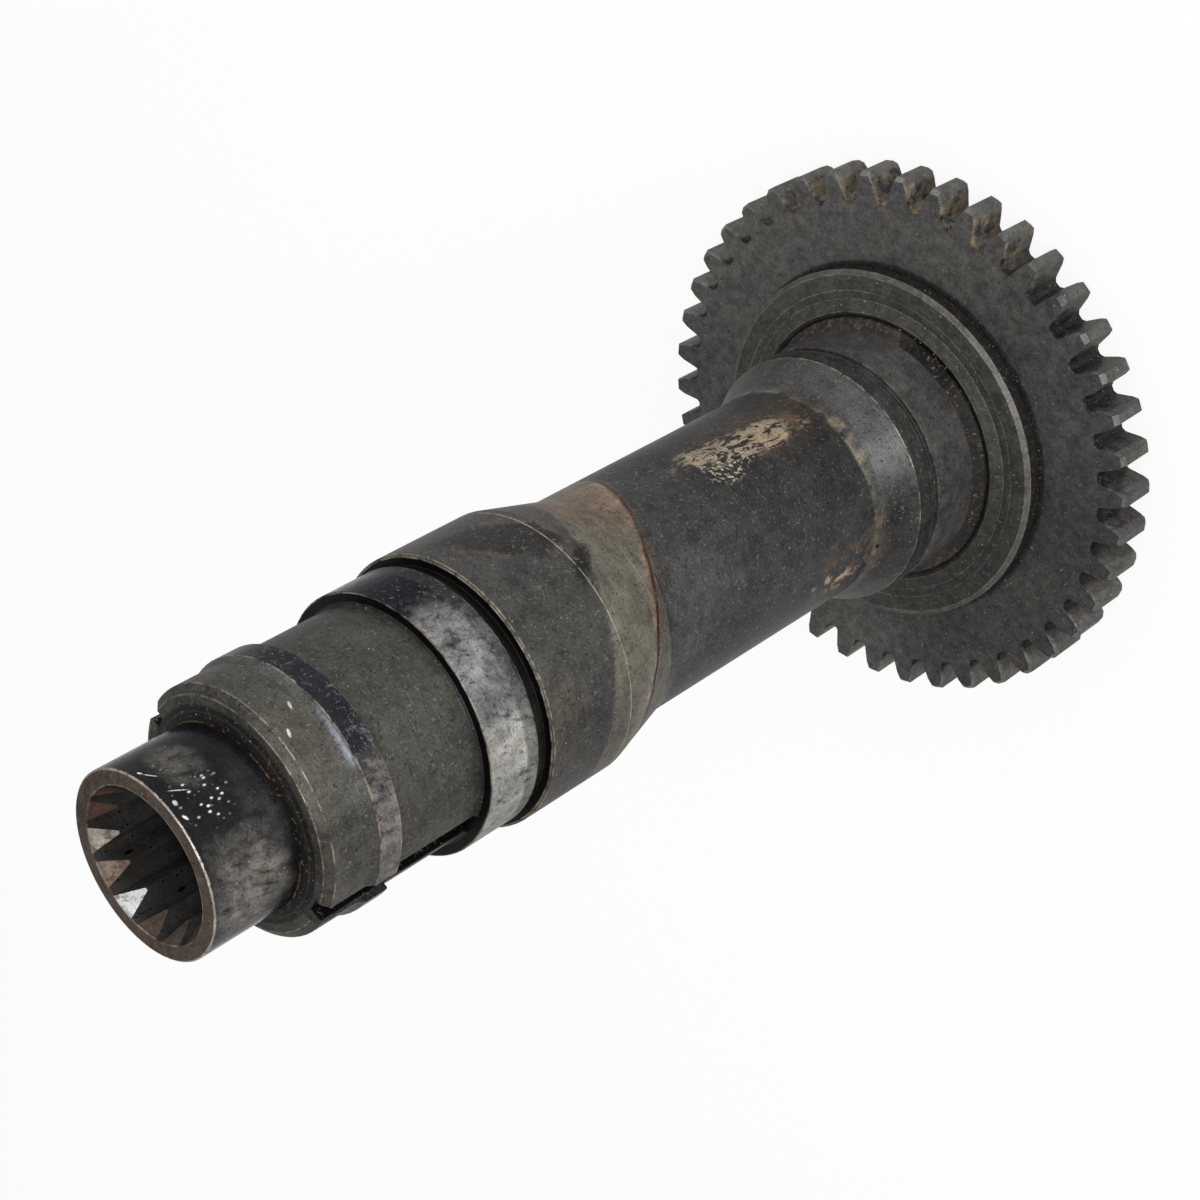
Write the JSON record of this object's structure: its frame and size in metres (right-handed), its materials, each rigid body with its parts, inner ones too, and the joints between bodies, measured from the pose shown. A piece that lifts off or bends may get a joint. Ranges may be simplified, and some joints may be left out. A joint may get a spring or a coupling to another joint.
{
  "type": "drive shaft",
  "caption": "Stepped gearbox drive shaft with a spur gear welded on one end, ground bearing seats, keyways and an internally splined pilot.",
  "frame": {"origin": "centre of the gear's rear face, on the shaft's axis", "axes": "+Z along the shaft from the gear to the splined pilot; +X through the middle of one keyway, and -X through the other"},
  "size_m": [0.22, 0.2196, 0.397],
  "materials": {
    "shaft_steel": "oiled, worn and scratched turned steel with rust and scale stains",
    "gear_steel": "dark oiled gear steel with brown dirt in the tooth gaps and bright edges"
  },
  "bodies": {
    "root": {"shaft": "shaft_steel", "gear_wheel": "gear_steel"}
  },
  "joints": []
}
